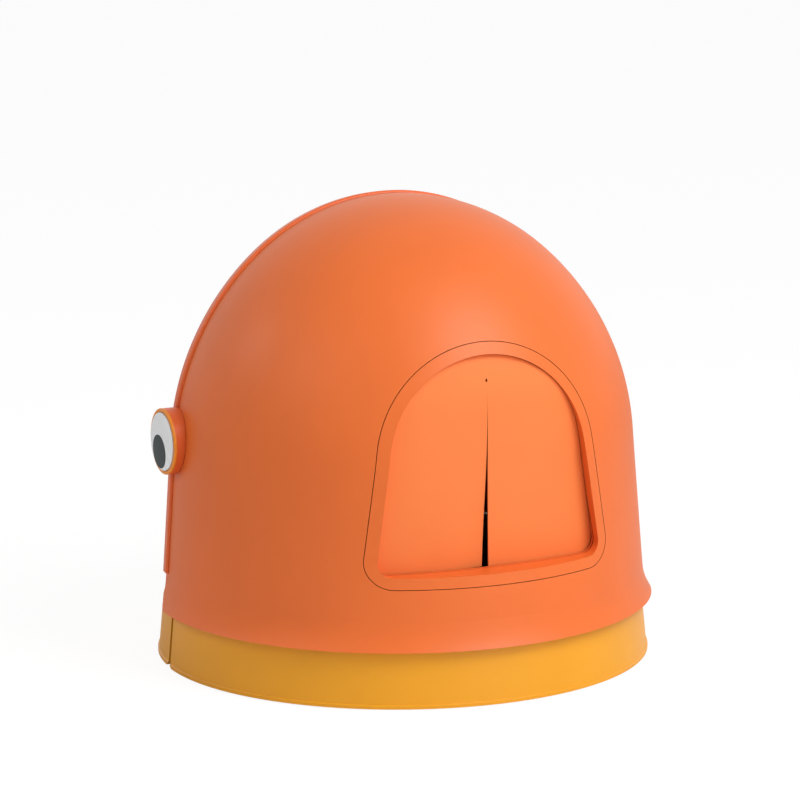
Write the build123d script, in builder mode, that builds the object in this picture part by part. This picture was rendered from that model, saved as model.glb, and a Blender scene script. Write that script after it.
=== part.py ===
from build123d import *
import os
from math import asin, cos, pi, radians, sin, sqrt, tan

# Covered litter box, in millimetres.
# +Z is up, -Y is the front with the visor and the drawer, +Y is the back with
# the cat door, and +X is the side of the right eye. The origin is on the floor
# under the centre of the round base.

# Shell: a crown arc, a flatter side arc and a leaning side that flares at its foot
shell_top_z = 457.5
crown_radius = 215.0
crown_turn = 42.0
side_radius = 262.0
side_lean = 4.1
shell_wall = 3.0
flare_start_z = 84.5
flare_reach = 8.9
shell_bottom_z = 57.5
shell_front_y = -46.0
shell_corner_radius = 25.0

# Rim: a raised edge trim round the front opening of the shell
rim_back_y = -35.0
rim_front_y = -50.0
rim_height = 2.8
rim_web = 2.0
rim_round = 2.5
rim_bottom_z = 92.5

# Visor: the front dome, which rolls up inside the shell
visor_gap = 6.0
visor_wall = 2.5
visor_back_y = -20.0
visor_bottom_z = 93.5
visor_ear_radius = 18.0
visor_grip_width = 120.0
visor_grip_reach = 6.0
visor_grip_height = 5.0
visor_ledge_z = 97.3
visor_ledge_height = 2.5
visor_ledge_depth = 5.5
visor_ledge_y = -158.0

# Visor pivots, on the left-right axis under the eyes
pivot_y = -33.0
pivot_z = 226.5
pivot_pin_radius = 5.0
pivot_pin_grip = 4.6
pivot_head_radius = 9.0
pivot_head_length = 2.5
pivot_slot_depth = 1.2
pivot_slot_width = 2.0
pivot_boss_radius = 11.5
ear_boss_radius = 16.0
ear_boss_length = 6.3
ear_depth = 10.5
ear_spot_margin = 1.0
bush_wall = 1.95
bush_flange_radius = 9.5
bush_flange_length = 1.3
running_gap = 0.06
side_margin = 8.0

# Eyes: round caps over the front corners of the shell
eye_radius = 32.6
eye_wall = 2.5
eye_height = 11.8
eye_boss_radius = 9.0
eye_ring_radius = 33.2
eye_ring_inner_radius = 29.2
eye_ring_length = 3.2
eye_ring_round = 1.6
eye_white_radius = 29.0
eye_white_edge = 2.6
eye_white_rise = 1.8
eye_pupil_radius = 16.9
eye_pupil_drop = 10.5
eye_pupil_shift = -3.7
eye_pupil_proud = 0.5
eye_pupil_floor = 1.2
eye_screw_reach = 14.0
eye_screw_boss_radius = 4.5
eye_room_depth = 2.8

# Base: the floor pan with its rear half wall
base_inset = 9.9
base_taper = 5.0
base_wall = 3.0
base_bottom_z = 1.2
base_floor = 3.0
base_floor_margin = 2.2
base_front_y = -18.5
base_corner_radius = 8.0
base_bead = 1.2
base_bead_height = 3.0
base_neck_gap = 2.3
base_neck_rise = 5.5
base_top_z = 91.7
foot_radius = 12.0
foot_margin = 37.6
foot_count = 6

# Drawer: the front half wall that carries the round litter tray
drawer_gap = 5.5
drawer_bottom_z = 2.2
drawer_top_z = 89.0
drawer_wall = 2.5
drawer_ledge_z = 82.6
drawer_ledge_depth = 5.6
drawer_ledge_height = 2.7
drawer_screw_count = 4
drawer_screw_step = 40.0
drawer_grip_width = 150.0
drawer_grip_height = 9.0
tray_taper = 9.0
tray_fit = 0.7
tray_slide_gap = 0.3
tray_wall = 2.5
tray_corner = 22.0
tray_rim_height = 2.6
runner_width = 16.0
runner_length = 380.0
runner_spacing = 250.0
runner_height = 2.0

# Seat ring: the flat ring that closes the cover's lower edge
seat_bottom_z = 92.0
seat_height = 3.0
seat_width = 14.0
seat_side_gap = 0.8
seat_front_gap = 0.7
seat_step_y = -19.3
seat_boss_radius = 5.0
seat_boss_height = 18.0
seat_head_gap = 0.6
seat_screw_count = 5
seat_screw_span = 150.0
pad_width = 30.0
pad_depth = 4.0
pad_height = 2.0
pad_inset = 3.0
pad_angle = 35.0

# Cat door: an arch with splayed sides, flush with the back of the shell
door_arc_radius = 114.0
door_arc_z = 230.9
door_bottom_z = 116.8
door_splay = 8.4
door_corner_radius = 25.0
door_gap = 0.7
door_face_width = 11.0
door_face_wall = 2.7
door_jamb_wall = 2.0
door_flange_inset = 4.4
door_flange_wall = 2.0
lip_inner = 6.0
lip_outer = 4.0
lip_wall = 2.0
frame_screw_inset = 2.9
frame_screw_count = 9
frame_screw_foot = 8.0

# Curtain: a split elastic sheet, curved about an upright axis that leans in
curtain_radius = 480.0
curtain_y = 199.0
curtain_lean = 6.5
curtain_thickness = 1.5
clamp_wall = 3.0
clamp_screw_inset = 7.8
clamp_screw_count = 8
clamp_screw_foot = 20.0
flap_hinge_x = 88.0
flap_top_z = 305.0
flap_shoulder_z = 226.0
flap_bottom_z = 132.0
slit_width = 1.6
relief_radius = 1.6
relief_z = 308.0
cut_gap = 1.0

# Screws
screw_radius = 1.25
screw_head_radius = 2.6
screw_head_height = 1.6
screw_length = 6.0
screw_seat_gap = 0.03

reach = 320.0
os.makedirs("parts", exist_ok=True)


crown_z = shell_top_z - crown_radius
side_centre_r = (crown_radius - side_radius) * sin(radians(crown_turn))
side_centre_z = crown_z + (crown_radius - side_radius) * cos(radians(crown_turn))


def shell_radius(z, offset=0.0):
    """Radius of the shell's side at height z, without the flare, moved out by offset."""
    knee_z = crown_z + (crown_radius + offset) * cos(radians(crown_turn))
    join_z = side_centre_z + (side_radius + offset) * sin(radians(side_lean))
    if z >= knee_z:
        return sqrt((crown_radius + offset) ** 2 - (z - crown_z) ** 2)
    if z >= join_z:
        return side_centre_r + sqrt((side_radius + offset) ** 2 - (z - side_centre_z) ** 2)
    join_r = side_centre_r + (side_radius + offset) * cos(radians(side_lean))
    return join_r + (join_z - z) * tan(radians(side_lean))


def dome_solid(offset, bottom_z, flared):
    """The whole dome as one body down to bottom_z, moved out by offset."""
    slope = tan(radians(side_lean))
    with BuildPart() as solid:
        with BuildSketch(Plane.YZ):
            with BuildLine():
                crown = CenterArc((0, crown_z), crown_radius + offset, 90, -crown_turn)
                side = CenterArc(
                    (side_centre_r, side_centre_z),
                    side_radius + offset,
                    90 - crown_turn,
                    crown_turn + side_lean - 90,
                )
                if flared:
                    start = (shell_radius(flare_start_z, offset), flare_start_z)
                    foot = (start[0] + flare_reach, bottom_z)
                    Line(side @ 1, start)
                    TangentArc(start, foot, tangent=(slope, -1))
                else:
                    foot = (shell_radius(bottom_z, offset), bottom_z)
                    Line(side @ 1, foot)
                Line(foot, (0, bottom_z))
                Line((0, bottom_z), crown @ 0)
            make_face()
        revolve(axis=Axis.Z)
    return solid.part


def shell_solid(offset):
    """The whole shell as one body, moved out by offset."""
    return dome_solid(offset, shell_bottom_z, True)


def door_prism(inset):
    """The arch of the cat door, moved in by inset, as a body behind Y = 0."""
    r = door_arc_radius - inset
    join_x = r * cos(radians(door_splay))
    join_z = door_arc_z + r * sin(radians(door_splay))
    foot_z = door_bottom_z + inset
    foot_x = join_x + (join_z - foot_z) * tan(radians(door_splay))
    with BuildPart() as prism:
        with BuildSketch(Plane.XZ):
            with BuildLine():
                ThreePointArc((-join_x, join_z), (0, door_arc_z + r), (join_x, join_z))
                FilletPolyline(
                    (join_x, join_z),
                    (foot_x, foot_z),
                    (-foot_x, foot_z),
                    (-join_x, join_z),
                    radius=door_corner_radius - inset,
                )
            make_face()
        extrude(amount=-reach)
    return prism.part


def door_points(inset, count, foot):
    """Points in X and Z round the arch and down both sides, foot above the corners."""
    r = door_arc_radius - inset
    join_angle = radians(door_splay)
    side = r * sin(join_angle) + door_arc_z - door_bottom_z - door_corner_radius - foot
    arc = r * (pi - 2 * join_angle)
    points = []
    for index in range(count):
        run = (arc + 2 * side) * index / (count - 1) - side
        past = max(-run, run - arc, 0)
        angle = join_angle + min(max(run, 0), arc) / r
        hand = 1 if run < arc / 2 else -1
        x = r * cos(angle) + hand * past * sin(join_angle)
        z = door_arc_z + r * sin(angle) - past * cos(join_angle)
        points.append((x, z))
    return points


curtain_frame = Plane(
    origin=(0, curtain_y, door_arc_z),
    x_dir=(1, 0, 0),
    z_dir=(0, -sin(radians(curtain_lean)), cos(radians(curtain_lean))),
)


def curtain_plane(x, z):
    """A plane on the curtain's outer face at x and z, facing out."""
    turn = asin(x / curtain_radius)
    lean = radians(curtain_lean)
    sag = curtain_radius * (1 - cos(turn)) / cos(lean)
    y = curtain_y - sag - tan(lean) * (z - door_arc_z)
    out = (sin(turn), cos(turn) * cos(lean), cos(turn) * sin(lean))
    return Plane(origin=(x, y, z), z_dir=out)


def shell_plane(x, z):
    """A plane on the back of the shell at x and z, facing out."""
    r = shell_radius(z)
    join_z = side_centre_z + side_radius * sin(radians(side_lean))
    if z >= crown_z + crown_radius * cos(radians(crown_turn)):
        slope = (z - crown_z) / r
    elif z >= join_z:
        slope = (z - side_centre_z) / (r - side_centre_r)
    else:
        slope = tan(radians(side_lean))
    y = sqrt(r**2 - x**2)
    return Plane(origin=(x, y, z), z_dir=(x, y, r * slope))


def curved_layer(outer, inner):
    """A tall curved layer between two distances from the curtain's outer face."""
    with BuildPart() as layer:
        with BuildSketch(curtain_frame):
            with Locations((0, -curtain_radius)):
                Circle(curtain_radius + outer)
                Circle(curtain_radius + inner, mode=Mode.SUBTRACT)
            Rectangle(3 * door_arc_radius, 2 * door_arc_radius, mode=Mode.INTERSECT)
        extrude(amount=reach, both=True)
    return layer.part


def curved_core(outer):
    """All that lies in front of a face moved out by outer from the curtain's."""
    with BuildPart() as core:
        with BuildSketch(curtain_frame):
            with Locations((0, -curtain_radius)):
                Circle(curtain_radius + outer)
        extrude(amount=reach, both=True)
    return core.part


def screws(planes, head_depth, length):
    """Pan-head screws driven outward; head_depth is the seat under each plane."""
    with BuildPart() as group:
        with Locations(*[plane.offset(-head_depth - screw_head_height) for plane in planes]):
            Cylinder(
                screw_head_radius,
                screw_head_height,
                align=(Align.CENTER, Align.CENTER, Align.MIN),
            )
            Cylinder(
                screw_radius,
                screw_head_height + length,
                align=(Align.CENTER, Align.CENTER, Align.MIN),
            )
    return group.part


def x_cylinder(radius, start_x, end_x, y, z):
    """A cylinder along X from start_x to end_x."""
    with BuildPart() as body:
        with BuildSketch(Plane(origin=(start_x, y, z), x_dir=(0, 1, 0), z_dir=(1, 0, 0))):
            Circle(radius)
        extrude(amount=end_x - start_x)
    return body.part


def side_slab(back_y, front_y, low_z):
    """A slab across the whole width, from front_y to back_y, above low_z."""
    with BuildPart() as slab:
        with BuildSketch(Plane.XY.offset(low_z)):
            with Locations((0, (back_y + front_y) / 2)):
                Rectangle(2 * reach, back_y - front_y)
        extrude(amount=2 * reach)
    return slab.part


# Sizes that follow from the shell
flare_radius = shell_radius(flare_start_z) + flare_reach
visor_inset = shell_wall + visor_gap
visor_foot_radius = shell_radius(visor_bottom_z, -visor_inset)
base_top_radius = flare_radius - base_inset
base_radius = base_top_radius + base_taper
base_neck_radius = shell_radius(base_top_z) - shell_wall - base_neck_gap
base_neck_z = shell_bottom_z + base_neck_rise
base_floor_radius = base_neck_radius - base_floor_margin
seat_top_z = seat_bottom_z + seat_height
seat_outer_radius = shell_radius(seat_top_z) - shell_wall - seat_side_gap
seat_front_radius = visor_foot_radius - visor_wall - seat_front_gap
seat_inner_radius = seat_front_radius - seat_width
seat_boss_circle = base_neck_radius - base_wall - seat_head_gap - screw_head_radius
drawer_band_radius = visor_foot_radius
drawer_ledge_radius = drawer_band_radius - drawer_wall - drawer_ledge_depth
drawer_screw_circle = drawer_ledge_radius + drawer_ledge_depth / 2
tray_floor_z = base_bottom_z + base_floor + runner_height + tray_slide_gap
tray_rim_z = drawer_ledge_z + drawer_ledge_height
tray_top_z = tray_rim_z + tray_rim_height
tray_rim_radius = drawer_band_radius - drawer_wall - tray_fit
tray_radius = drawer_ledge_radius - tray_fit
tray_floor_radius = tray_radius - tray_taper

# Places along the pivot axis
shell_side_x = sqrt(shell_radius(pivot_z) ** 2 - pivot_y**2)
pivot_pin_end_x = shell_side_x + pivot_pin_grip
pivot_bore_radius = pivot_pin_radius + running_gap
bush_radius = pivot_bore_radius + bush_wall
ear_spot_radius = pivot_boss_radius + ear_spot_margin
ear_face_x = shell_side_x - ear_depth
ear_boss_x = ear_face_x - ear_boss_length
flange_face_x = ear_face_x + bush_flange_length
pin_head_x = ear_boss_x - running_gap
inner_x = shell_side_x - ear_depth - ear_boss_length - side_margin
outer_x = shell_side_x + eye_height
eye_face_x = shell_side_x + eye_height
eye_floor_x = eye_face_x - eye_wall
visor_room_x = shell_side_x - eye_room_depth
eye_white_edge_x = eye_face_x + eye_white_edge
eye_white_crown_x = eye_white_edge_x + eye_white_rise
eye_pupil_floor_x = eye_face_x + eye_pupil_floor

shell_outer = shell_solid(0)
shell_inner = shell_solid(-shell_wall)
lip_depth = door_face_wall + lip_wall

# Screws of the cover, made first so that their holes fit them
frame_points = door_points(frame_screw_inset, frame_screw_count, frame_screw_foot)
frame_screw_planes = [shell_plane(x, z) for x, z in frame_points]
frame_screw_group = screws(frame_screw_planes, lip_depth + screw_seat_gap, lip_wall + 1.5)
clamp_points = door_points(clamp_screw_inset, clamp_screw_count, clamp_screw_foot)
for x in (-60, 0, 60):
    clamp_points.append((x, door_bottom_z + clamp_screw_inset))
clamp_screw_group = screws(
    [curtain_plane(x, z) for x, z in clamp_points],
    curtain_thickness + clamp_wall + screw_seat_gap,
    curtain_thickness + clamp_wall + 1.8,
)
seat_screw_planes = []
for index in range(seat_screw_count):
    turn = radians(90 + seat_screw_span * (index / (seat_screw_count - 1) - 0.5))
    spot = (seat_boss_circle * cos(turn), seat_boss_circle * sin(turn), seat_bottom_z)
    seat_screw_planes.append(Plane(origin=spot))
seat_screw_group = screws(seat_screw_planes, 0, seat_height + 9.0)
eye_screw_planes = []
for step in (-1, 1):
    screw_y = pivot_y + eye_screw_reach
    screw_z = pivot_z + step * eye_screw_reach
    screw_x = sqrt(shell_radius(screw_z, -shell_wall) ** 2 - screw_y**2)
    spot = (screw_x, screw_y, screw_z)
    eye_screw_planes.append(Plane(origin=spot, x_dir=(0, 1, 0), z_dir=(1, 0, 0)))
eye_screw_group = screws(eye_screw_planes, 0, 3.0 + screw_length)

# Floor pan with the rear half wall, which steps in under the shell
with BuildPart() as base_pan:
    with BuildSketch(Plane.XZ):
        with BuildLine():
            Polyline(
                (base_radius - base_wall, base_bottom_z),
                (base_radius + base_bead, base_bottom_z),
                (base_radius + base_bead, base_bottom_z + base_bead_height),
                (base_radius - 0.2, base_bottom_z + base_bead_height + base_bead),
                (base_top_radius, shell_bottom_z),
                (base_neck_radius, base_neck_z),
                (base_neck_radius, base_top_z),
                (base_neck_radius - base_wall, base_top_z),
                (base_neck_radius - base_wall, base_neck_z - 1),
                (base_top_radius - base_wall, shell_bottom_z - 1),
                (base_radius - base_wall, base_bottom_z + base_floor),
                (base_radius - base_wall, base_bottom_z),
            )
        make_face()
    revolve(axis=Axis.Z)
    with BuildSketch(Plane.YZ):
        with BuildLine():
            FilletPolyline(
                (reach, base_top_z + 1),
                (base_front_y, base_top_z + 1),
                (base_front_y, base_bottom_z),
                (reach, base_bottom_z),
                radius=base_corner_radius,
            )
            Line((reach, base_bottom_z), (reach, base_top_z + 1))
        make_face()
    extrude(amount=reach, both=True, mode=Mode.INTERSECT)
    with BuildSketch(Plane.XY.offset(base_bottom_z)):
        Circle(base_radius - base_wall)
        with Locations((0, base_front_y + base_corner_radius - reach)):
            Rectangle(2 * reach, 2 * reach, mode=Mode.SUBTRACT)
        Circle(base_floor_radius)
    extrude(amount=base_floor)
base_pan.part.label = "base_pan"

# Rubber feet under the pan
with BuildPart() as rubber_feet:
    with BuildSketch():
        with PolarLocations(base_radius - foot_margin, foot_count, start_angle=30):
            Circle(foot_radius)
    extrude(amount=base_bottom_z)
rubber_feet.part.label = "rubber_feet"

# Low-friction strips that the tray slides on
with BuildPart() as tray_runners:
    with BuildSketch(Plane.XY.offset(base_bottom_z + base_floor)):
        with GridLocations(runner_spacing, 1, 2, 1):
            SlotOverall(runner_length, runner_width, rotation=90)
    extrude(amount=runner_height)
tray_runners.part.label = "tray_runners"

# Round litter tray with a flat rim
with BuildPart() as litter_tray:
    with BuildSketch(Plane.XZ):
        with BuildLine():
            FilletPolyline(
                (0, tray_floor_z),
                (tray_floor_radius, tray_floor_z),
                (tray_radius, tray_rim_z),
                radius=tray_corner,
            )
            Polyline(
                (tray_radius, tray_rim_z),
                (tray_rim_radius, tray_rim_z),
                (tray_rim_radius, tray_top_z),
                (tray_radius - tray_wall, tray_top_z),
            )
            FilletPolyline(
                (tray_radius - tray_wall, tray_top_z),
                (tray_floor_radius - tray_wall, tray_floor_z + tray_wall),
                (0, tray_floor_z + tray_wall),
                radius=tray_corner - tray_wall,
            )
            Line((0, tray_floor_z + tray_wall), (0, tray_floor_z))
        make_face()
    revolve(axis=Axis.Z)
litter_tray.part.label = "litter_tray"

# Screws that hold the tray's rim down on the drawer's ledge
drawer_screw_planes = []
for index in range(drawer_screw_count):
    turn = radians(drawer_screw_step * (index - (drawer_screw_count - 1) / 2) - 90)
    spot = (drawer_screw_circle * cos(turn), drawer_screw_circle * sin(turn), drawer_ledge_z)
    drawer_screw_planes.append(Plane(origin=spot))
drawer_screw_group = screws(drawer_screw_planes, 0, drawer_ledge_height + 1.8)

# Front half wall of the drawer, with a ledge for the tray and a grip
with BuildPart() as drawer_front:
    with BuildSketch(Plane.XZ):
        with BuildLine():
            Polyline(
                (base_radius - base_wall, drawer_bottom_z),
                (base_radius + base_bead, drawer_bottom_z),
                (base_radius + base_bead, drawer_bottom_z + base_bead_height),
                (base_radius - 0.2, drawer_bottom_z + base_bead_height + base_bead),
                (base_top_radius, shell_bottom_z),
                (drawer_band_radius, shell_bottom_z),
                (drawer_band_radius, drawer_top_z),
                (drawer_band_radius - drawer_wall, drawer_top_z),
                (drawer_band_radius - drawer_wall, tray_rim_z),
                (drawer_ledge_radius, tray_rim_z),
                (drawer_ledge_radius, drawer_ledge_z),
                (drawer_band_radius - drawer_wall, drawer_ledge_z),
                (drawer_band_radius - drawer_wall, shell_bottom_z - drawer_wall),
                (base_top_radius - base_wall, shell_bottom_z - drawer_wall),
                (base_radius - base_wall, drawer_bottom_z),
            )
        make_face()
    revolve(axis=Axis.Z)
    with BuildSketch(Plane.XY.offset(shell_bottom_z - drawer_grip_height)):
        Circle(flare_radius)
        Circle(base_top_radius - base_wall / 2, mode=Mode.SUBTRACT)
        with Locations((0, -flare_radius)):
            Rectangle(drawer_grip_width, flare_radius, mode=Mode.INTERSECT)
    extrude(amount=drawer_grip_height)
    with BuildSketch(Plane.YZ):
        with BuildLine():
            FilletPolyline(
                (-reach, drawer_top_z + 1),
                (base_front_y - drawer_gap, drawer_top_z + 1),
                (base_front_y - drawer_gap, drawer_bottom_z),
                (-reach, drawer_bottom_z),
                radius=base_corner_radius / 2,
            )
            Line((-reach, drawer_bottom_z), (-reach, drawer_top_z + 1))
        make_face()
    extrude(amount=reach, both=True, mode=Mode.INTERSECT)
    add(drawer_screw_group, mode=Mode.SUBTRACT)
drawer_front.part.label = "drawer_front"

with BuildPart() as drawer_screws:
    add(drawer_screw_group)
drawer_screws.part.label = "drawer_screws"
litter_tray.part = litter_tray.part - drawer_screw_group
litter_tray.part.label = "litter_tray"

# Rim: edge trim that caps the front edge of the shell
with BuildPart() as front_rim:
    add(shell_solid(rim_height))
    add(side_slab(rim_back_y, rim_front_y, rim_bottom_z), mode=Mode.INTERSECT)
    front_edges = front_rim.faces().sort_by(Axis.Y)[0].outer_wire().edges()
    bent_edges = front_edges.filter_by(lambda edge: edge.center().Z > rim_bottom_z + 5)
    fillet(bent_edges, radius=rim_round)
    add(shell_solid(-rim_web), mode=Mode.SUBTRACT)
    with BuildPart(mode=Mode.PRIVATE) as leg_room:
        add(shell_outer)
        add(side_slab(reach, shell_front_y, 0), mode=Mode.INTERSECT)
    add(leg_room.part, mode=Mode.SUBTRACT)
    for hand in (-1, 1):
        add(
            x_cylinder(eye_boss_radius, hand * inner_x, hand * outer_x, pivot_y, pivot_z),
            mode=Mode.SUBTRACT,
        )
front_rim.part.label = "front_rim"

# Seat ring, with room inside it for the tray and outside it for the visor
with BuildPart() as seat_ring:
    with BuildSketch(Plane.XY.offset(seat_bottom_z)):
        Circle(seat_outer_radius)
        with Locations((0, seat_step_y - reach)):
            Rectangle(2 * reach, 2 * reach, mode=Mode.SUBTRACT)
        Circle(seat_front_radius)
        Circle(seat_inner_radius, mode=Mode.SUBTRACT)
    extrude(amount=seat_height)
    add(seat_screw_group, mode=Mode.SUBTRACT)
seat_ring.part.label = "seat_ring"

with BuildPart() as seat_screws:
    add(seat_screw_group)
seat_screws.part.label = "seat_screws"

# Soft pads that the visor's ledge comes down on
with BuildPart() as visor_pads:
    with BuildSketch(Plane.XY.offset(seat_top_z)):
        with PolarLocations(
            seat_front_radius - pad_inset,
            2,
            start_angle=-90 - pad_angle,
            angular_range=4 * pad_angle,
        ):
            Rectangle(pad_depth, pad_width)
    extrude(amount=pad_height)
visor_pads.part.label = "visor_pads"

# Rear shell: the walled dome behind the front edge, with the door cut out
with BuildPart() as shell_bosses:
    with BuildSketch(Plane.XY.offset(seat_top_z)):
        with PolarLocations(
            seat_boss_circle,
            seat_screw_count,
            start_angle=90 - seat_screw_span / 2,
            angular_range=seat_screw_span,
            endpoint=True,
        ):
            Circle(seat_boss_radius)
            with Locations((seat_boss_radius, 0)):
                Rectangle(2 * seat_boss_radius, 2 * seat_boss_radius)
    extrude(amount=seat_boss_height)
    for hand in (-1, 1):
        face_x = flange_face_x + running_gap
        add(x_cylinder(pivot_boss_radius, hand * face_x, hand * outer_x, pivot_y, pivot_z))
    add(shell_outer, mode=Mode.INTERSECT)

with BuildPart() as door_lip:
    add(shell_solid(-door_face_wall))
    add(shell_solid(-lip_depth), mode=Mode.SUBTRACT)
    add(door_prism(-lip_outer), mode=Mode.INTERSECT)
    add(door_prism(lip_inner), mode=Mode.SUBTRACT)

with BuildPart() as rear_shell:
    add(shell_outer)
    add(shell_inner, mode=Mode.SUBTRACT)
    with BuildSketch(Plane.YZ):
        with BuildLine():
            FilletPolyline(
                (reach, 2 * reach),
                (shell_front_y, 2 * reach),
                (shell_front_y, shell_bottom_z),
                (reach, shell_bottom_z),
                radius=shell_corner_radius,
            )
            Line((reach, shell_bottom_z), (reach, 2 * reach))
        make_face()
    extrude(amount=reach, both=True, mode=Mode.INTERSECT)
    add(door_prism(-door_gap), mode=Mode.SUBTRACT)
    add(door_lip.part)
    add(shell_bosses.part)
    add(frame_screw_group, mode=Mode.SUBTRACT)
    add(seat_screw_group, mode=Mode.SUBTRACT)
    for hand in (-1, 1):
        add(
            x_cylinder(pivot_pin_radius, hand * inner_x, hand * outer_x, pivot_y, pivot_z),
            mode=Mode.SUBTRACT,
        )
    add(eye_screw_group, mode=Mode.SUBTRACT)
    add(mirror(eye_screw_group, about=Plane.YZ, mode=Mode.PRIVATE), mode=Mode.SUBTRACT)
rear_shell.part.label = "rear_shell"

# Door frame: the flush face, the jamb and the flange that backs the curtain
with BuildPart() as frame_face:
    add(shell_outer)
    add(shell_solid(-door_face_wall), mode=Mode.SUBTRACT)
    add(door_prism(0), mode=Mode.INTERSECT)

with BuildPart() as frame_flange:
    add(curved_layer(door_flange_wall, 0))
    add(door_prism(door_flange_inset), mode=Mode.INTERSECT)

with BuildPart() as door_frame:
    add(door_prism(door_face_width - door_jamb_wall))
    add(shell_outer, mode=Mode.INTERSECT)
    add(curved_core(0), mode=Mode.SUBTRACT)
    add(frame_face.part)
    add(frame_flange.part)
    add(door_prism(door_face_width), mode=Mode.SUBTRACT)
    add(frame_screw_group, mode=Mode.SUBTRACT)
    add(clamp_screw_group, mode=Mode.SUBTRACT)
door_frame.part.label = "door_frame"

with BuildPart() as frame_screws:
    add(frame_screw_group)
frame_screws.part.label = "frame_screws"

# Curtain: the fixed margin of the sheet, open where the two flaps hang
with BuildPart() as curtain_sheet:
    add(curved_layer(0, -curtain_thickness))
    add(door_prism(door_flange_inset), mode=Mode.INTERSECT)
    with BuildSketch(Plane.XZ):
        with BuildLine():
            Polyline(
                (-flap_hinge_x - cut_gap, door_bottom_z + door_face_width),
                (-flap_hinge_x - cut_gap, flap_shoulder_z + cut_gap),
                (-relief_radius, relief_z),
                (relief_radius, relief_z),
                (flap_hinge_x + cut_gap, flap_shoulder_z + cut_gap),
                (flap_hinge_x + cut_gap, door_bottom_z + door_face_width),
                close=True,
            )
        make_face()
        with Locations((0, relief_z)):
            Circle(relief_radius)
    extrude(amount=-reach, mode=Mode.SUBTRACT)
    add(clamp_screw_group, mode=Mode.SUBTRACT)
curtain_sheet.part.label = "curtain_sheet"

# Flaps: the two free halves of the sheet below the relief hole
with BuildPart() as curtain_flap_right:
    add(curved_layer(0, -curtain_thickness))
    with BuildSketch(Plane.XZ):
        with BuildLine():
            Polyline(
                (slit_width / 2, flap_bottom_z),
                (slit_width / 2, flap_top_z),
                (flap_hinge_x, flap_shoulder_z),
                (flap_hinge_x, flap_bottom_z),
                close=True,
            )
        make_face()
    extrude(amount=-reach, mode=Mode.INTERSECT)
curtain_flap_right.part.label = "curtain_flap_right"

with BuildPart() as curtain_flap_left:
    add(mirror(curtain_flap_right.part, about=Plane.YZ, mode=Mode.PRIVATE))
curtain_flap_left.part.label = "curtain_flap_left"

# Ring that clamps the curtain's margin against the flange
with BuildPart() as curtain_clamp:
    add(curved_layer(-curtain_thickness, -curtain_thickness - clamp_wall))
    add(door_prism(door_flange_inset), mode=Mode.INTERSECT)
    add(door_prism(door_face_width), mode=Mode.SUBTRACT)
    add(clamp_screw_group, mode=Mode.SUBTRACT)
curtain_clamp.part.label = "curtain_clamp"

with BuildPart() as clamp_screws:
    add(clamp_screw_group)
clamp_screws.part.label = "clamp_screws"

# Eye housings: hollow caps with a boss for the pivot pin
with BuildPart() as eye_housing_right:
    add(x_cylinder(eye_radius, inner_x, eye_face_x, pivot_y, pivot_z))
    add(
        x_cylinder(eye_radius - eye_wall, inner_x, eye_floor_x, pivot_y, pivot_z),
        mode=Mode.SUBTRACT,
    )
    for plane in eye_screw_planes:
        spot = plane.origin
        add(x_cylinder(eye_screw_boss_radius, inner_x, eye_floor_x, spot.Y, spot.Z))
    with BuildPart(mode=Mode.PRIVATE) as rim_room:
        add(shell_solid(rim_height))
        add(side_slab(rim_back_y, rim_front_y, 0), mode=Mode.INTERSECT)
    add(rim_room.part, mode=Mode.SUBTRACT)
    add(x_cylinder(eye_boss_radius, inner_x, eye_floor_x, pivot_y, pivot_z))
    add(shell_outer, mode=Mode.SUBTRACT)
    add(
        x_cylinder(pivot_pin_radius, inner_x, pivot_pin_end_x, pivot_y, pivot_z),
        mode=Mode.SUBTRACT,
    )
    add(eye_screw_group, mode=Mode.SUBTRACT)
    with BuildPart(mode=Mode.PRIVATE) as visor_room:
        add(x_cylinder(eye_radius, inner_x, visor_room_x, pivot_y, pivot_z))
        add(side_slab(shell_front_y, -reach, 0), mode=Mode.INTERSECT)
    add(visor_room.part, mode=Mode.SUBTRACT)
eye_housing_right.part.label = "eye_housing_right"

# Yellow ring on the face of each housing
with BuildPart() as eye_ring_right:
    ring_end_x = eye_face_x + eye_ring_length
    add(x_cylinder(eye_ring_radius, eye_face_x, ring_end_x, pivot_y, pivot_z))
    fillet(eye_ring_right.edges().sort_by(Axis.X)[-1], radius=eye_ring_round)
    add(
        x_cylinder(eye_ring_inner_radius, eye_face_x, ring_end_x, pivot_y, pivot_z),
        mode=Mode.SUBTRACT,
    )
eye_ring_right.part.label = "eye_ring_right"


def eye_crown(offset):
    """The ball whose surface gives the white disc its dome, raised by offset."""
    rise = eye_white_crown_x - eye_white_edge_x
    ball_radius = (eye_white_radius**2 + rise**2) / (2 * rise)
    with BuildPart() as crown:
        with Locations((eye_white_crown_x - ball_radius, pivot_y, pivot_z)):
            Sphere(ball_radius + offset)
    return crown.part


pupil_y = pivot_y + eye_pupil_shift
pupil_z = pivot_z - eye_pupil_drop
pupil_end_x = eye_white_crown_x + 2

# White disc and pupil of each eye
with BuildPart() as eye_pupil_right:
    add(x_cylinder(eye_pupil_radius, eye_pupil_floor_x, pupil_end_x, pupil_y, pupil_z))
    add(eye_crown(eye_pupil_proud), mode=Mode.INTERSECT)
eye_pupil_right.part.label = "eye_pupil_right"

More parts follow.
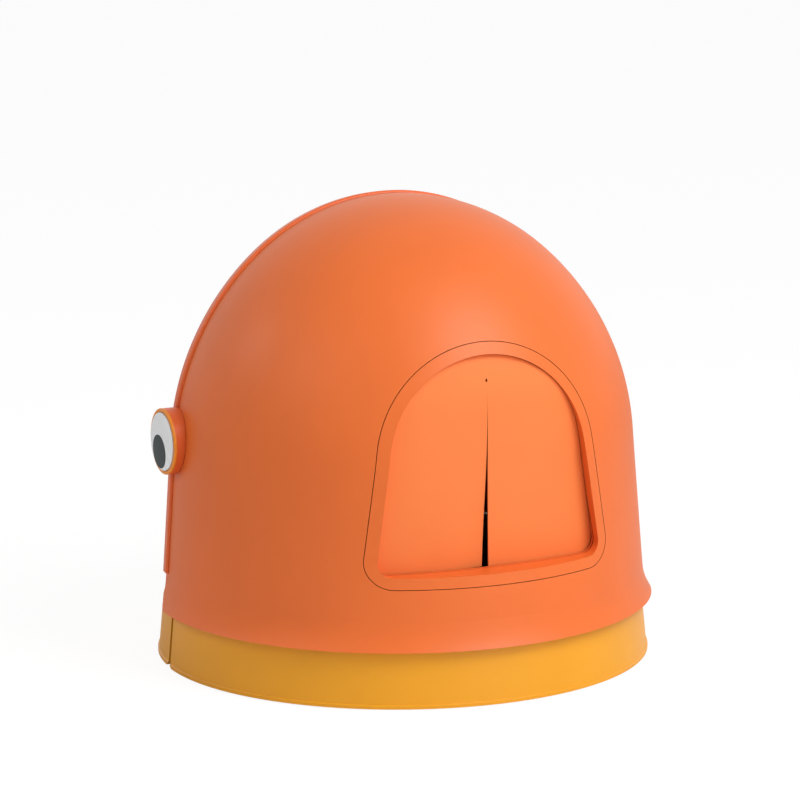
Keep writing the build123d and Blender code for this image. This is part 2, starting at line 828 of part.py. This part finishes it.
with BuildPart() as eye_white_right:
    with BuildSketch(Plane.XY.offset(pivot_z)):
        with BuildLine():
            edge_y = pivot_y + eye_white_radius
            middle_x = eye_white_crown_x - (eye_white_crown_x - eye_white_edge_x) / 4
            Polyline(
                (eye_white_crown_x, pivot_y),
                (eye_face_x, pivot_y),
                (eye_face_x, edge_y),
                (eye_white_edge_x, edge_y),
            )
            ThreePointArc(
                (eye_white_edge_x, edge_y),
                (middle_x, (pivot_y + edge_y) / 2),
                (eye_white_crown_x, pivot_y),
            )
        make_face()
    revolve(axis=Axis((0, pivot_y, pivot_z), (1, 0, 0)))
    add(
        x_cylinder(eye_pupil_radius, eye_pupil_floor_x, pupil_end_x, pupil_y, pupil_z),
        mode=Mode.SUBTRACT,
    )
eye_white_right.part.label = "eye_white_right"

# Pivot pins, driven from inside through the visor's ears
with BuildPart() as pivot_pin_right:
    add(x_cylinder(pivot_head_radius, pin_head_x - pivot_head_length, pin_head_x, pivot_y, pivot_z))
    add(x_cylinder(pivot_pin_radius, pin_head_x, pivot_pin_end_x, pivot_y, pivot_z))
    with Locations((pin_head_x - pivot_head_length + pivot_slot_depth / 2, pivot_y, pivot_z)):
        Box(pivot_slot_depth, 2 * pivot_head_radius, pivot_slot_width, mode=Mode.SUBTRACT)
pivot_pin_right.part.label = "pivot_pin_right"

# Flanged bushes pressed into the visor's ears
with BuildPart() as visor_bush_right:
    add(x_cylinder(bush_flange_radius, ear_face_x, flange_face_x, pivot_y, pivot_z))
    add(x_cylinder(bush_radius, ear_boss_x, ear_face_x, pivot_y, pivot_z))
    add(
        x_cylinder(pivot_bore_radius, ear_boss_x, flange_face_x, pivot_y, pivot_z),
        mode=Mode.SUBTRACT,
    )
visor_bush_right.part.label = "visor_bush_right"

# Visor: the front dome with a round ear at each pivot
visor_outer = dome_solid(-visor_inset, visor_bottom_z, False)
visor_inner = dome_solid(-visor_inset - visor_wall, visor_bottom_z, False)

with BuildPart() as visor_limits:
    add(side_slab(visor_back_y, -reach, 0))
    add(x_cylinder(visor_ear_radius, -reach, reach, pivot_y, pivot_z))

with BuildPart() as visor_inside:
    for hand in (-1, 1):
        add(x_cylinder(ear_boss_radius, hand * ear_boss_x, hand * outer_x, pivot_y, pivot_z))
    with BuildSketch(Plane.XY.offset(visor_ledge_z)):
        Circle(flare_radius)
        Circle(visor_foot_radius - visor_wall - visor_ledge_depth, mode=Mode.SUBTRACT)
        with Locations((0, visor_ledge_y - reach)):
            Rectangle(2 * reach, 2 * reach, mode=Mode.INTERSECT)
    extrude(amount=visor_ledge_height)
    add(visor_outer, mode=Mode.INTERSECT)

with BuildPart() as visor_shell:
    add(visor_outer)
    add(visor_inner, mode=Mode.SUBTRACT)
    add(visor_limits.part, mode=Mode.INTERSECT)
    add(visor_inside.part)
    with BuildSketch(Plane.XY.offset(visor_bottom_z)):
        Circle(visor_foot_radius + visor_grip_reach)
        Circle(visor_foot_radius - visor_wall / 2, mode=Mode.SUBTRACT)
        with Locations((0, -flare_radius)):
            Rectangle(visor_grip_width, flare_radius, mode=Mode.INTERSECT)
    extrude(amount=visor_grip_height)
    for hand in (-1, 1):
        add(
            x_cylinder(ear_spot_radius, hand * ear_face_x, hand * outer_x, pivot_y, pivot_z),
            mode=Mode.SUBTRACT,
        )
        add(
            x_cylinder(bush_radius, hand * inner_x, hand * outer_x, pivot_y, pivot_z),
            mode=Mode.SUBTRACT,
        )
visor_shell.part.label = "visor_shell"

# Left-hand pieces, mirrored from the right-hand ones
with BuildPart() as eye_housing_left:
    add(mirror(eye_housing_right.part, about=Plane.YZ, mode=Mode.PRIVATE))
eye_housing_left.part.label = "eye_housing_left"

with BuildPart() as eye_ring_left:
    add(mirror(eye_ring_right.part, about=Plane.YZ, mode=Mode.PRIVATE))
eye_ring_left.part.label = "eye_ring_left"

with BuildPart() as eye_white_left:
    add(mirror(eye_white_right.part, about=Plane.YZ, mode=Mode.PRIVATE))
eye_white_left.part.label = "eye_white_left"

with BuildPart() as eye_pupil_left:
    add(mirror(eye_pupil_right.part, about=Plane.YZ, mode=Mode.PRIVATE))
eye_pupil_left.part.label = "eye_pupil_left"

with BuildPart() as pivot_pin_left:
    add(mirror(pivot_pin_right.part, about=Plane.YZ, mode=Mode.PRIVATE))
pivot_pin_left.part.label = "pivot_pin_left"

with BuildPart() as visor_bush_left:
    add(mirror(visor_bush_right.part, about=Plane.YZ, mode=Mode.PRIVATE))
visor_bush_left.part.label = "visor_bush_left"

with BuildPart() as housing_screws:
    add(eye_screw_group)
    add(mirror(eye_screw_group, about=Plane.YZ, mode=Mode.PRIVATE))
housing_screws.part.label = "housing_screws"

pieces = [
    base_pan,
    rubber_feet,
    tray_runners,
    litter_tray,
    drawer_front,
    drawer_screws,
    rear_shell,
    front_rim,
    seat_ring,
    seat_screws,
    visor_pads,
    door_frame,
    frame_screws,
    curtain_sheet,
    curtain_clamp,
    clamp_screws,
    curtain_flap_right,
    curtain_flap_left,
    eye_housing_right,
    eye_housing_left,
    eye_ring_right,
    eye_ring_left,
    eye_white_right,
    eye_white_left,
    eye_pupil_right,
    eye_pupil_left,
    housing_screws,
    pivot_pin_right,
    pivot_pin_left,
    visor_bush_right,
    visor_bush_left,
    visor_shell,
]
for piece in pieces:
    export_step(piece.part, f"parts/{piece.part.label}.step")
    print(piece.part.label, len(piece.part.solids()), round(piece.part.volume))
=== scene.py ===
from math import cos, pi, radians, sin, sqrt, tan

import bmesh
import bpy
from mathutils import Matrix, Vector


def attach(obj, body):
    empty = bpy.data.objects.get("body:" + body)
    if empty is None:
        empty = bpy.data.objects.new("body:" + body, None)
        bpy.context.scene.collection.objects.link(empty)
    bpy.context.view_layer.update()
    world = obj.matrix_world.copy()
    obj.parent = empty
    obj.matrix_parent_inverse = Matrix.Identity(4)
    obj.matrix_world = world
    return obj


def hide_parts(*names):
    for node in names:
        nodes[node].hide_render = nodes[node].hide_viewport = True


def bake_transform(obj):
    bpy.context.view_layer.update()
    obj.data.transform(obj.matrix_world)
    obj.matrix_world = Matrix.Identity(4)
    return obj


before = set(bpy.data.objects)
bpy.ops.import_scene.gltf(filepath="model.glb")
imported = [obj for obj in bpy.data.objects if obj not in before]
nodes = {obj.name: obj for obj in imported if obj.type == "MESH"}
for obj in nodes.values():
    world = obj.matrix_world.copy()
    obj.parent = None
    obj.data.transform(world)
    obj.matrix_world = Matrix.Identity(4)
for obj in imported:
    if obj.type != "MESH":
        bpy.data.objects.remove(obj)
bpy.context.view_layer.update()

MM = 0.001

# Camera, at the photo's viewpoint
IMAGE_SIZE = 800
VIEW_TURN = radians(24.0)
VIEW_RISE = radians(12.15)
VIEW_ROLL = radians(-0.45)
VIEW_DISTANCE = 5.0
VIEW_END = 50.0
FOCAL_PIXELS = 5032.0
TARGET = Vector((0.0, 0.0, 0.230))
TARGET_PIXEL = (401.1, 421.6)
SENSOR_WIDTH = 36.0

# Cat door, as the solids have it
DOOR_ARC = 114.0 * MM
DOOR_BOTTOM = 116.8 * MM
DOOR_SPLAY = radians(8.4)
DOOR_CORNER = 25.0 * MM
DOOR_MIDDLE = 230.9 * MM

# Curtain: two halves of one sheet, parted at a slit below the relief hole
CURTAIN_INSET = 9.6 * MM
CURTAIN_RADIUS = 480.0 * MM
CURTAIN_THICKNESS = 1.5 * MM
SHEET_Y = 203.7 * MM
SHEET_KNEE_Z = 285.0 * MM
SHEET_KNEE_RADIUS = 210.0 * MM
SHEET_COLUMNS = 44
SHEET_ROWS = 96
SHEET_CROWDING = 1.5
SHEET_LEAST_WIDTH = 0.2 * MM
SHEET_SHARP = radians(40)
FLAP_BOTTOM = 132.0 * MM
RELIEF_Z = 309.5 * MM
RELIEF_RADIUS = 1.3 * MM
SLIT_POWER = 1.7
CURL_WIDTH = 45.0 * MM
CURL_ONSET = 1.1
RIGHT_GAP = 4.6 * MM
RIGHT_CURL = 5.0 * MM
LEFT_GAP = 0.3 * MM
LEFT_CURL = 0.4 * MM

# Eyes, close to the solids, with a fuller dome on the white disc
EYE_Y = -33.0 * MM
EYE_Z = 226.5 * MM
EYE_FACE_X = 239.29 * MM
EYE_SHARP = radians(50)
LOOP_POINTS = 96
RING_RADIUS = 32.8 * MM
RING_INNER = 28.9 * MM
RING_HEIGHT = 2.3 * MM
RING_ROUND = 1.2 * MM
RING_ROUND_STEPS = 6
RING_BEVEL = 0.3 * MM
WHITE_RADIUS = 28.8 * MM
WHITE_EDGE = 3.7 * MM
WHITE_RISE = 1.2 * MM
WHITE_ROUND = 0.9 * MM
WHITE_ROUND_STEPS = 5
WHITE_DOME_STEPS = 24
PUPIL_RADIUS = 16.7 * MM
PUPIL_Y = EYE_Y - 3.7 * MM
PUPIL_Z = EYE_Z - 10.5 * MM
PUPIL_PROUD = 0.35 * MM
PUPIL_FOOT = 1.0 * MM
PUPIL_STEPS = 12

# Colours, as linear values
SHELL_COLOUR = (0.76, 0.150, 0.026, 1)
RIM_COLOUR = (0.76, 0.130, 0.026, 1)
CURTAIN_COLOUR = (0.84, 0.195, 0.044, 1)
BASE_COLOUR = (0.79, 0.34, 0.012, 1)
RING_COLOUR = (0.86, 0.27, 0.018, 1)
WHITE_COLOUR = (0.84, 0.85, 0.86, 1)
DARK_COLOUR = (0.018, 0.028, 0.028, 1)
TRAY_COLOUR = (0.40, 0.40, 0.38, 1)
RUNNER_COLOUR = (0.72, 0.70, 0.65, 1)
RUBBER_COLOUR = (0.02, 0.02, 0.02, 1)
STEEL_COLOUR = (0.55, 0.55, 0.55, 1)
FLOOR_COLOUR = (0.9, 0.9, 0.9, 1)
PURE_WHITE = (1, 1, 1, 1)

# Moulded surface: a slow tint, a fine grain, and painted shade in crevices, which are darker and
# duller
SHINE = 0.32
COAT_ROUGHNESS = 0.3
TINT_SCALE = 9.0
TINT_DETAIL = 3.0
TINT_RAMP = (0.3, 0.7)
TINT_LOW = 0.97
TINT_HIGH = 1.03
GRAIN_DETAIL = 4.0
GRAIN_STRENGTH = 0.35
GLOSS_LOWER = 0.04
GLOSS_HIGHER = 0.05
# Painted shade in crevices: reach and samples of the occlusion, the levels read as deep and as
# open, and the tint of the deepest shade
CREVICE_REACH = 2.5 * MM
CREVICE_SAMPLES = 8
CREVICE_DEEP = 0.15
CREVICE_OPEN = 0.7
PAINTED_CREVICE_SHADE_TINT = 0.06

# Floor and light
FLOOR_SIZE = 40.0
FLOOR_GLOW = 0.86
FLOOR_GLOW_STRENGTH = 1.06
WORLD_LEVEL = 0.42
WORLD_SEEN_LEVEL = 1.0


def plastic(name, colour, rough, grain_scale, grain_depth, coat=0.0, metal=0.0, sheen=0.0):
    """Moulded plastic, rubber or steel: fine grain, slow colour change, uneven gloss, and painted
    shade that darkens and dulls crevices.
    """
    material = bpy.data.materials.new(name)
    material.use_nodes = True
    tree = material.node_tree
    link = tree.links.new
    shader = tree.nodes["Principled BSDF"]
    shader.inputs["Metallic"].default_value = metal
    shader.inputs["Coat Weight"].default_value = coat
    shader.inputs["Coat Roughness"].default_value = COAT_ROUGHNESS
    shader.inputs["Sheen Weight"].default_value = sheen

    place = tree.nodes.new("ShaderNodeTexCoord")
    slow = tree.nodes.new("ShaderNodeTexNoise")
    slow.inputs["Scale"].default_value = TINT_SCALE
    slow.inputs["Detail"].default_value = TINT_DETAIL
    tint = tree.nodes.new("ShaderNodeValToRGB")
    tint.color_ramp.elements[0].position = TINT_RAMP[0]
    tint.color_ramp.elements[1].position = TINT_RAMP[1]
    low = [channel * TINT_LOW for channel in colour[:3]] + [1]
    high = [min(channel * TINT_HIGH, 1) for channel in colour[:3]] + [1]
    tint.color_ramp.elements[0].color = low
    tint.color_ramp.elements[1].color = high
    link(place.outputs["Object"], slow.inputs["Vector"])
    link(slow.outputs["Fac"], tint.inputs["Fac"])

    fine = tree.nodes.new("ShaderNodeTexNoise")
    fine.inputs["Scale"].default_value = grain_scale
    fine.inputs["Detail"].default_value = GRAIN_DETAIL
    gloss = tree.nodes.new("ShaderNodeMapRange")
    gloss.inputs["To Min"].default_value = rough - GLOSS_LOWER
    gloss.inputs["To Max"].default_value = rough + GLOSS_HIGHER
    bump = tree.nodes.new("ShaderNodeBump")
    bump.inputs["Strength"].default_value = GRAIN_STRENGTH
    bump.inputs["Distance"].default_value = grain_depth
    link(place.outputs["Object"], fine.inputs["Vector"])
    link(fine.outputs["Fac"], gloss.inputs["Value"])
    link(gloss.outputs["Result"], shader.inputs["Roughness"])
    link(fine.outputs["Fac"], bump.inputs["Height"])
    link(bump.outputs["Normal"], shader.inputs["Normal"])

    # Painted shade: ambient occlusion darkens the base colour and lowers the shine in crevices and
    # parting lines
    crevice_shade_occlusion = tree.nodes.new("ShaderNodeAmbientOcclusion")
    crevice_shade_occlusion.inputs["Distance"].default_value = CREVICE_REACH
    crevice_shade_occlusion.samples = CREVICE_SAMPLES
    openness = tree.nodes.new("ShaderNodeMapRange")
    openness.inputs["From Min"].default_value = CREVICE_DEEP
    openness.inputs["From Max"].default_value = CREVICE_OPEN
    shaded_shine = tree.nodes.new("ShaderNodeMath")
    shaded_shine.operation = "MULTIPLY"
    shaded_shine.inputs[1].default_value = SHINE
    shaded = tree.nodes.new("ShaderNodeMix")
    shaded.data_type = "RGBA"
    shaded.inputs["A"].default_value = [channel * PAINTED_CREVICE_SHADE_TINT for channel in colour[:3]] + [1]
    link(crevice_shade_occlusion.outputs["AO"], openness.inputs["Value"])
    link(openness.outputs["Result"], shaded_shine.inputs[0])
    link(shaded_shine.outputs[0], shader.inputs["Specular IOR Level"])
    link(openness.outputs["Result"], shaded.inputs["Factor"])
    link(tint.outputs["Color"], shaded.inputs["B"])
    link(shaded.outputs["Result"], shader.inputs["Base Color"])
    return material


shell_plastic = plastic("shell plastic", SHELL_COLOUR, 0.42, 900, 0.06 * MM)
rim_plastic = plastic("rim plastic", RIM_COLOUR, 0.38, 900, 0.05 * MM)
curtain_rubber = plastic("curtain rubber", CURTAIN_COLOUR, 0.62, 700, 0.1 * MM, sheen=0.05)
base_plastic = plastic("base plastic", BASE_COLOUR, 0.36, 900, 0.05 * MM)
ring_plastic = plastic("ring plastic", RING_COLOUR, 0.36, 900, 0.05 * MM)
white_plastic = plastic("eye white", WHITE_COLOUR, 0.28, 1200, 0.02 * MM, coat=0.2)
dark_plastic = plastic("eye pupil", DARK_COLOUR, 0.45, 1200, 0.02 * MM)
tray_plastic = plastic("tray plastic", TRAY_COLOUR, 0.5, 600, 0.1 * MM)
runner_plastic = plastic("runner plastic", RUNNER_COLOUR, 0.4, 800, 0.05 * MM)
foot_rubber = plastic("foot rubber", RUBBER_COLOUR, 0.7, 500, 0.2 * MM)
screw_steel = plastic("screw steel", STEEL_COLOUR, 0.35, 1500, 0.03 * MM, metal=1.0)

# Finish of each node; the screws, which aren't listed, are steel
finishes = {
    "rear_shell": shell_plastic,
    "visor_shell": shell_plastic,
    "seat_ring": shell_plastic,
    "door_frame": shell_plastic,
    "curtain_clamp": rim_plastic,
    "front_rim": rim_plastic,
    "base_pan": base_plastic,
    "drawer_front": base_plastic,
    "litter_tray": tray_plastic,
    "tray_runners": runner_plastic,
    "rubber_feet": foot_rubber,
    "visor_pads": foot_rubber,
    "curtain_sheet": curtain_rubber,
}
for side in ("right", "left"):
    finishes["eye_housing_" + side] = rim_plastic
    finishes["eye_ring_" + side] = ring_plastic
    finishes["eye_white_" + side] = white_plastic
    finishes["eye_pupil_" + side] = dark_plastic
    finishes["pivot_pin_" + side] = runner_plastic
    finishes["visor_bush_" + side] = runner_plastic
    finishes["curtain_flap_" + side] = curtain_rubber
for name, node in nodes.items():
    node.data.materials.clear()
    node.data.materials.append(finishes.get(name, screw_steel))


def smooth_object(name, mesh, material, sharp_angle):
    """An object made from a bmesh, shaded smooth except at edges past the sharp angle."""
    bmesh.ops.recalc_face_normals(mesh, faces=mesh.faces)
    data = bpy.data.meshes.new(name)
    mesh.to_mesh(data)
    mesh.free()
    for face in data.polygons:
        face.use_smooth = True
    data.set_sharp_from_angle(angle=sharp_angle)
    data.materials.append(material)
    thing = bpy.data.objects.new(name, data)
    bpy.context.scene.collection.objects.link(thing)
    return thing


def smoothstep(value):
    """0 below 0, 1 above 1, and smooth between."""
    value = min(max(value, 0.0), 1.0)
    return value * value * (3 - 2 * value)


def curtain_face(x, z):
    """Y of the curtain's outer face: upright, and drawn in under the top of the arch."""
    sag = CURTAIN_RADIUS - sqrt(CURTAIN_RADIUS**2 - x * x)
    knee = max(z - SHEET_KNEE_Z, 0.0)
    return SHEET_Y - sag - knee * knee / SHEET_KNEE_RADIUS


def door_half_width(z):
    """Half the width of the curtain at height z, tucked a little under the frame."""
    arc = DOOR_ARC - CURTAIN_INSET
    bottom = DOOR_BOTTOM + CURTAIN_INSET
    join_z = DOOR_MIDDLE + arc * sin(DOOR_SPLAY)
    if z > join_z:
        return sqrt(max(arc**2 - (z - DOOR_MIDDLE) ** 2, 0.0))
    side = arc * cos(DOOR_SPLAY) + (join_z - z) * tan(DOOR_SPLAY)
    corner = DOOR_CORNER - CURTAIN_INSET
    rise = z - bottom
    if rise < corner:
        side -= corner - sqrt(max(corner**2 - (corner - rise) ** 2, 0.0))
    return side


def sheet_layer(mesh, hand, depth, part_bottom, curl):
    """Rows of points over one face of a half, from the slit to the frame."""
    bottom = DOOR_BOTTOM + CURTAIN_INSET
    top = DOOR_MIDDLE + DOOR_ARC - CURTAIN_INSET
    grid = []
    for row in range(SHEET_ROWS + 1):
        z = bottom + (top - bottom) * row / SHEET_ROWS
        outer = max(door_half_width(z), SHEET_LEAST_WIDTH)
        down = (RELIEF_Z - z) / (RELIEF_Z - FLAP_BOTTOM)
        gap = part_bottom * max(down, 0.0) ** SLIT_POWER
        near_hole = RELIEF_RADIUS**2 - (z - RELIEF_Z) ** 2
        if near_hole > 0:
            gap = max(gap, sqrt(near_hole))
        line = []
        for column in range(SHEET_COLUMNS + 1):
            share = (column / SHEET_COLUMNS) ** SHEET_CROWDING
            x = gap + (outer - gap) * share
            fold = smoothstep(1 - (x - gap) / CURL_WIDTH) * smoothstep(down * CURL_ONSET)
            y = curtain_face(x, z) - depth - curl * fold * fold
            line.append(mesh.verts.new((hand * x, y, z)))
        grid.append(line)
    return grid


def curtain_half(name, hand, part_bottom, curl):
    """One half of the split sheet, with its thickness; it bends at its free corner."""
    mesh = bmesh.new()
    front = sheet_layer(mesh, hand, 0.0, part_bottom, curl)
    back = sheet_layer(mesh, hand, CURTAIN_THICKNESS, part_bottom, curl)
    for row in range(SHEET_ROWS):
        low_front, high_front = front[row], front[row + 1]
        low_back, high_back = back[row], back[row + 1]
        for a in range(SHEET_COLUMNS):
            b = a + 1
            mesh.faces.new((low_front[a], low_front[b], high_front[b], high_front[a]))
            mesh.faces.new((low_back[a], high_back[a], high_back[b], low_back[b]))
        for a in (0, SHEET_COLUMNS):
            mesh.faces.new((low_front[a], high_front[a], high_back[a], low_back[a]))
    for a in range(SHEET_COLUMNS):
        b = a + 1
        for row in (0, SHEET_ROWS):
            mesh.faces.new((front[row][a], back[row][a], back[row][b], front[row][b]))
    sheet = smooth_object(name, mesh, curtain_rubber, SHEET_SHARP)
    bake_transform(sheet)
    return sheet


right_half = curtain_half("curtain_half_right", 1, RIGHT_GAP, RIGHT_CURL)
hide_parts("curtain_flap_right", "curtain_sheet")
left_half = curtain_half("curtain_half_left", -1, LEFT_GAP, LEFT_CURL)
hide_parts("curtain_flap_left")


def loft(name, loops, closed, material):
    """A smooth piece skinned over loops of points; closed joins the last to the first."""
    mesh = bmesh.new()
    rows = [[mesh.verts.new(point) for point in loop] for loop in loops]
    pairs = list(zip(rows, rows[1:]))
    if closed:
        pairs.append((rows[-1], rows[0]))
    else:
        mesh.faces.new(rows[0])
        mesh.faces.new(rows[-1])
    for low, high in pairs:
        for index in range(len(low)):
            after = (index + 1) % len(low)
            mesh.faces.new((low[index], low[after], high[after], high[index]))
    piece = smooth_object(name, mesh, material, EYE_SHARP)
    return piece


def dome_x(y, z):
    """X of the white disc's face at y and z, on the right-hand eye."""
    reach = ((y - EYE_Y) ** 2 + (z - EYE_Z) ** 2) / WHITE_RADIUS**2
    return EYE_FACE_X + WHITE_EDGE + WHITE_RISE * (1 - reach)


def round_loop(hand, radius, x):
    """A round loop of points about the eye's axis."""
    points = []
    for step in range(LOOP_POINTS):
        turn = 2 * pi * step / LOOP_POINTS
        points.append((hand * x, EYE_Y + radius * cos(turn), EYE_Z + radius * sin(turn)))
    return points


def pupil_loop(hand, radius, x=None):
    """A round loop about the pupil's middle, at x or else just proud of the white disc."""
    points = []
    for step in range(LOOP_POINTS):
        turn = 2 * pi * step / LOOP_POINTS
        y = PUPIL_Y + radius * cos(turn)
        z = PUPIL_Z + radius * sin(turn)
        face_x = dome_x(y, z) + PUPIL_PROUD if x is None else x
        points.append((hand * face_x, y, z))
    return points


def eye_ring(hand, side):
    """The yellow band, with a rounded outer edge."""
    low = EYE_FACE_X
    high = EYE_FACE_X + RING_HEIGHT
    outline = [(RING_INNER, low), (RING_INNER, high - RING_BEVEL), (RING_INNER + RING_BEVEL, high)]
    for step in range(RING_ROUND_STEPS + 1):
        turn = radians(90 - 90 / RING_ROUND_STEPS * step)
        across = RING_RADIUS - RING_ROUND + RING_ROUND * cos(turn)
        outline.append((across, high - RING_ROUND + RING_ROUND * sin(turn)))
    outline.append((RING_RADIUS, low))
    loops = [round_loop(hand, radius, x) for radius, x in outline]
    ring = loft("eye_ring_band_" + side, loops, True, ring_plastic)
    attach(ring, "cover")
    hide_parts("eye_ring_" + side)


def eye_disc(hand, side):
    """The white disc, domed and with a rounded edge."""
    low = EYE_FACE_X
    outline = [(WHITE_RADIUS, low), (WHITE_RADIUS, low + WHITE_EDGE - WHITE_ROUND)]
    for step in range(1, WHITE_ROUND_STEPS + 1):
        turn = radians(90 / WHITE_ROUND_STEPS * step)
        across = WHITE_RADIUS - WHITE_ROUND + WHITE_ROUND * cos(turn)
        outline.append((across, low + WHITE_EDGE - WHITE_ROUND * (1 - sin(turn))))
    for step in range(1, WHITE_DOME_STEPS):
        across = (WHITE_RADIUS - WHITE_ROUND) * (1 - step / WHITE_DOME_STEPS)
        outline.append((across, dome_x(EYE_Y + across, EYE_Z)))
    loops = [round_loop(hand, radius, x) for radius, x in outline]
    white = loft("eye_disc_" + side, loops, False, white_plastic)
    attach(white, "cover")
    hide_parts("eye_white_" + side)


def eye_pupil(hand, side):
    """The dark pupil, a thin cap that follows the white disc."""
    loops = [pupil_loop(hand, PUPIL_RADIUS, EYE_FACE_X + PUPIL_FOOT)]
    for step in range(PUPIL_STEPS):
        loops.append(pupil_loop(hand, PUPIL_RADIUS * (1 - step / PUPIL_STEPS)))
    pupil = loft("eye_pupil_cap_" + side, loops, False, dark_plastic)
    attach(pupil, "cover")
    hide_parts("eye_pupil_" + side)


for hand, side in ((1, "right"), (-1, "left")):
    eye_ring(hand, side)
    eye_disc(hand, side)
    eye_pupil(hand, side)

# Camera
back = Vector(
    (sin(VIEW_TURN) * cos(VIEW_RISE), cos(VIEW_TURN) * cos(VIEW_RISE), sin(VIEW_RISE))
)
level_right = Vector((-cos(VIEW_TURN), sin(VIEW_TURN), 0))
level_up = back.cross(level_right)
right = level_right * cos(VIEW_ROLL) + level_up * sin(VIEW_ROLL)
up = level_up * cos(VIEW_ROLL) - level_right * sin(VIEW_ROLL)
camera_data = bpy.data.cameras.new("camera")
camera_data.sensor_width = SENSOR_WIDTH
camera_data.lens = SENSOR_WIDTH * FOCAL_PIXELS / IMAGE_SIZE
camera_data.shift_x = (IMAGE_SIZE / 2 - TARGET_PIXEL[0]) / IMAGE_SIZE
camera_data.shift_y = (TARGET_PIXEL[1] - IMAGE_SIZE / 2) / IMAGE_SIZE
camera_data.clip_end = VIEW_END
camera = bpy.data.objects.new("camera", camera_data)
bpy.context.scene.collection.objects.link(camera)
camera_place = TARGET + back * VIEW_DISTANCE
camera.matrix_world = Matrix(
    (
        (right.x, up.x, back.x, camera_place.x),
        (right.y, up.y, back.y, camera_place.y),
        (right.z, up.z, back.z, camera_place.z),
        (0, 0, 0, 1),
    )
)
bpy.context.scene.camera = camera

# Floor, which stays nearly white to the camera and keeps a soft shadow
half = FLOOR_SIZE / 2
floor_data = bpy.data.meshes.new("floor")
floor_data.from_pydata(
    [(-half, -half, 0), (half, -half, 0), (half, half, 0), (-half, half, 0)], [], [(0, 1, 2, 3)]
)
floor = bpy.data.objects.new("floor", floor_data)
bpy.context.scene.collection.objects.link(floor)
floor_paint = bpy.data.materials.new("floor paint")
floor_paint.use_nodes = True
floor_tree = floor_paint.node_tree
floor_tree.nodes.clear()
output = floor_tree.nodes.new("ShaderNodeOutputMaterial")
mix = floor_tree.nodes.new("ShaderNodeMixShader")
matt = floor_tree.nodes.new("ShaderNodeBsdfDiffuse")
matt.inputs["Color"].default_value = FLOOR_COLOUR
glow = floor_tree.nodes.new("ShaderNodeEmission")
glow.inputs["Color"].default_value = PURE_WHITE
glow.inputs["Strength"].default_value = FLOOR_GLOW_STRENGTH
rays = floor_tree.nodes.new("ShaderNodeLightPath")
seen = floor_tree.nodes.new("ShaderNodeMath")
seen.operation = "MULTIPLY"
seen.inputs[1].default_value = FLOOR_GLOW
floor_tree.links.new(rays.outputs["Is Camera Ray"], seen.inputs[0])
floor_tree.links.new(seen.outputs[0], mix.inputs[0])
floor_tree.links.new(matt.outputs[0], mix.inputs[1])
floor_tree.links.new(glow.outputs[0], mix.inputs[2])
floor_tree.links.new(mix.outputs[0], output.inputs["Surface"])
floor_data.materials.append(floor_paint)

# World: white to the camera and in reflections, and a plain level of light on the object
world = bpy.data.worlds.new("studio")
world.use_nodes = True
world_tree = world.node_tree
sky = world_tree.nodes["Background"]
sky.inputs["Color"].default_value = PURE_WHITE
sky_rays = world_tree.nodes.new("ShaderNodeLightPath")
sky_seen = world_tree.nodes.new("ShaderNodeMath")
sky_seen.operation = "MAXIMUM"
sky_level = world_tree.nodes.new("ShaderNodeMapRange")
sky_level.inputs["To Min"].default_value = WORLD_LEVEL
sky_level.inputs["To Max"].default_value = WORLD_SEEN_LEVEL
world_tree.links.new(sky_rays.outputs["Is Camera Ray"], sky_seen.inputs[0])
world_tree.links.new(sky_rays.outputs["Is Glossy Ray"], sky_seen.inputs[1])
world_tree.links.new(sky_seen.outputs[0], sky_level.inputs["Value"])
world_tree.links.new(sky_level.outputs["Result"], sky.inputs["Strength"])
bpy.context.scene.world = world


def lamp(name, turn, rise, distance, size, power):
    """A square soft lamp aimed at the object; turn is from +Y towards +X, in degrees."""
    light = bpy.data.lights.new(name, "AREA")
    light.shape = "SQUARE"
    light.size = size
    light.energy = power
    holder = bpy.data.objects.new(name, light)
    bpy.context.scene.collection.objects.link(holder)
    turn = radians(turn)
    rise = radians(rise)
    aim = Vector((sin(turn) * cos(rise), cos(turn) * cos(rise), sin(rise)))
    holder.location = TARGET + aim * distance
    holder.rotation_euler = aim.to_track_quat("Z", "Y").to_euler()


lamp("key lamp", -26, 44, 2.4, 1.3, 37)
lamp("side lamp", 118, 30, 2.4, 0.35, 4)
lamp("fill lamp", -20, 10, 2.8, 1.8, 14)
lamp("rear lamp", 75, 35, 2.6, 1.2, 5)

bpy.context.scene.view_settings.view_transform = "Standard"
